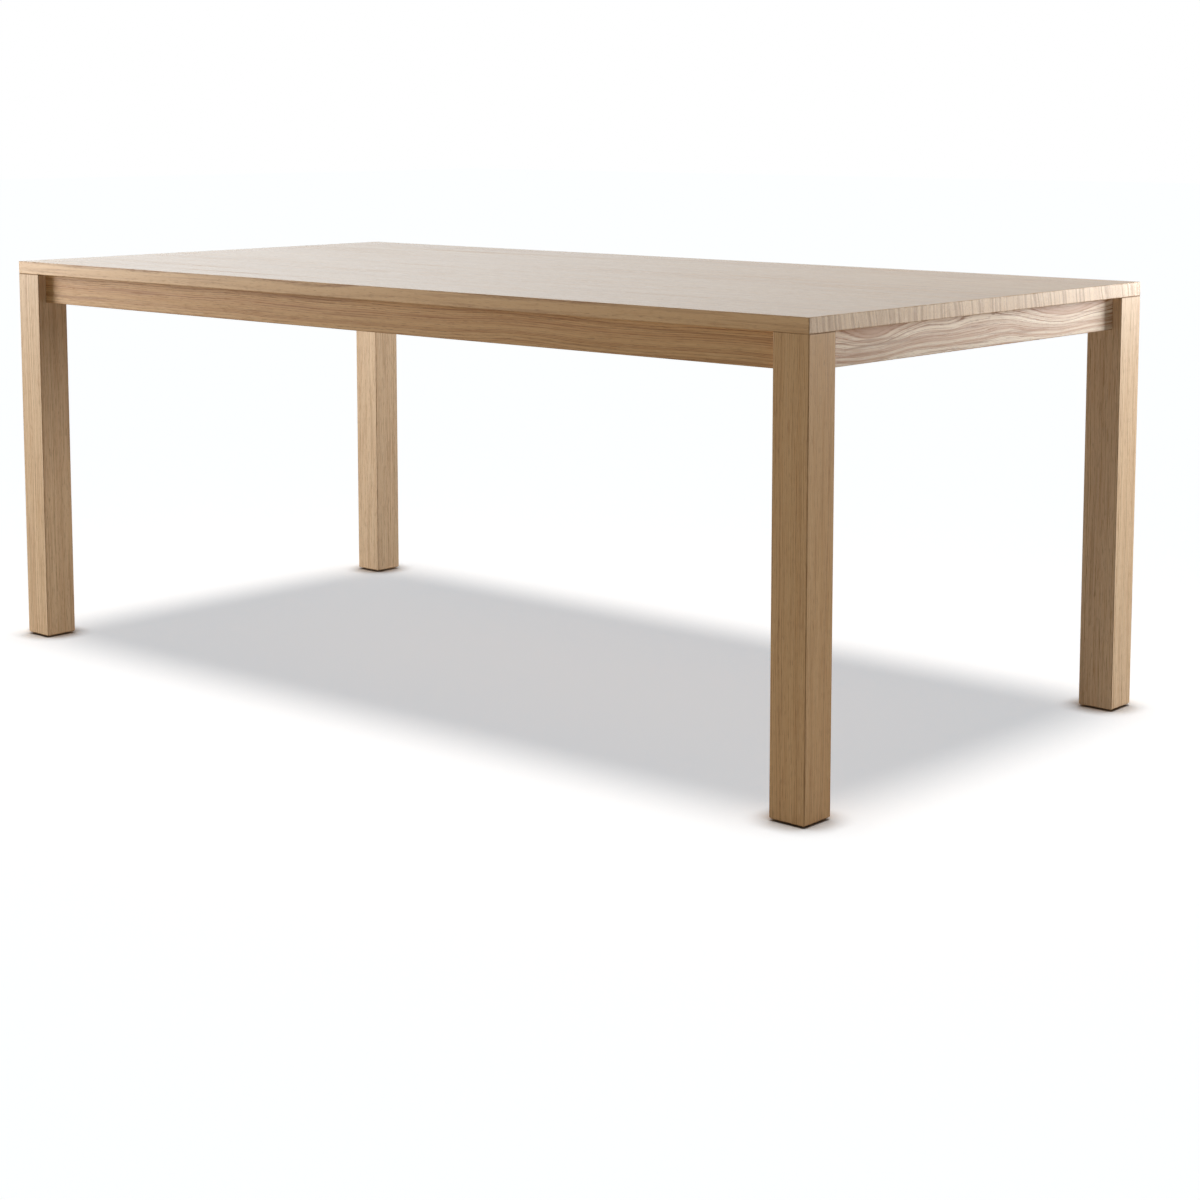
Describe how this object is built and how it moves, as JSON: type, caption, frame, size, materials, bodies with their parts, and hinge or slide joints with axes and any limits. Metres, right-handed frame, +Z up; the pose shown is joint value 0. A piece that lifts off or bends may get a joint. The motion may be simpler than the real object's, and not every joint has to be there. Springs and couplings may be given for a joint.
{
  "type": "dining table",
  "caption": "Rectangular solid wood dining table: square legs flush with the corners of a thin top, set-back aprons just under it, and bolted corner brackets so the legs come off.",
  "frame": {"origin": "on the floor, under the middle of the top", "axes": "+X along the table's length, +Y across it from the front long side to the back one, +Z up"},
  "size_m": [1.94, 0.96, 0.75],
  "materials": {
    "top_oak": "satin",
    "frame_oak": "satin",
    "beech": "bare",
    "zinc_sheet": "zinc plated",
    "zinc_fastener": "zinc plated",
    "glide_plastic": "moulded"
  },
  "bodies": {
    "root": {"top_stave_1": "top_oak", "top_stave_2": "top_oak", "top_stave_3": "top_oak", "top_stave_4": "top_oak", "top_stave_5": "top_oak", "top_stave_6": "top_oak", "top_stave_7": "top_oak", "top_stave_8": "top_oak", "leg_front_left": "frame_oak", "leg_front_right": "frame_oak", "leg_back_right": "frame_oak", "leg_back_left": "frame_oak", "apron_front": "frame_oak", "apron_right": "frame_oak", "apron_back": "frame_oak", "apron_left": "frame_oak", "cross_rail": "frame_oak", "corner_bracket_front_left": "zinc_sheet", "corner_bracket_front_right": "zinc_sheet", "corner_bracket_back_right": "zinc_sheet", "corner_bracket_back_left": "zinc_sheet", "glide_front_left": "glide_plastic", "glide_front_right": "glide_plastic", "glide_back_right": "glide_plastic", "glide_back_left": "glide_plastic", "leg_dowels": "beech", "hanger_bolts": "zinc_fastener", "bolt_washers": "zinc_fastener", "bolt_nuts": "zinc_fastener", "bracket_screws": "zinc_fastener", "clip_screws": "zinc_fastener", "rail_screws": "zinc_fastener", "glide_screws": "zinc_fastener", "top_clips": "zinc_sheet"}
  },
  "joints": []
}
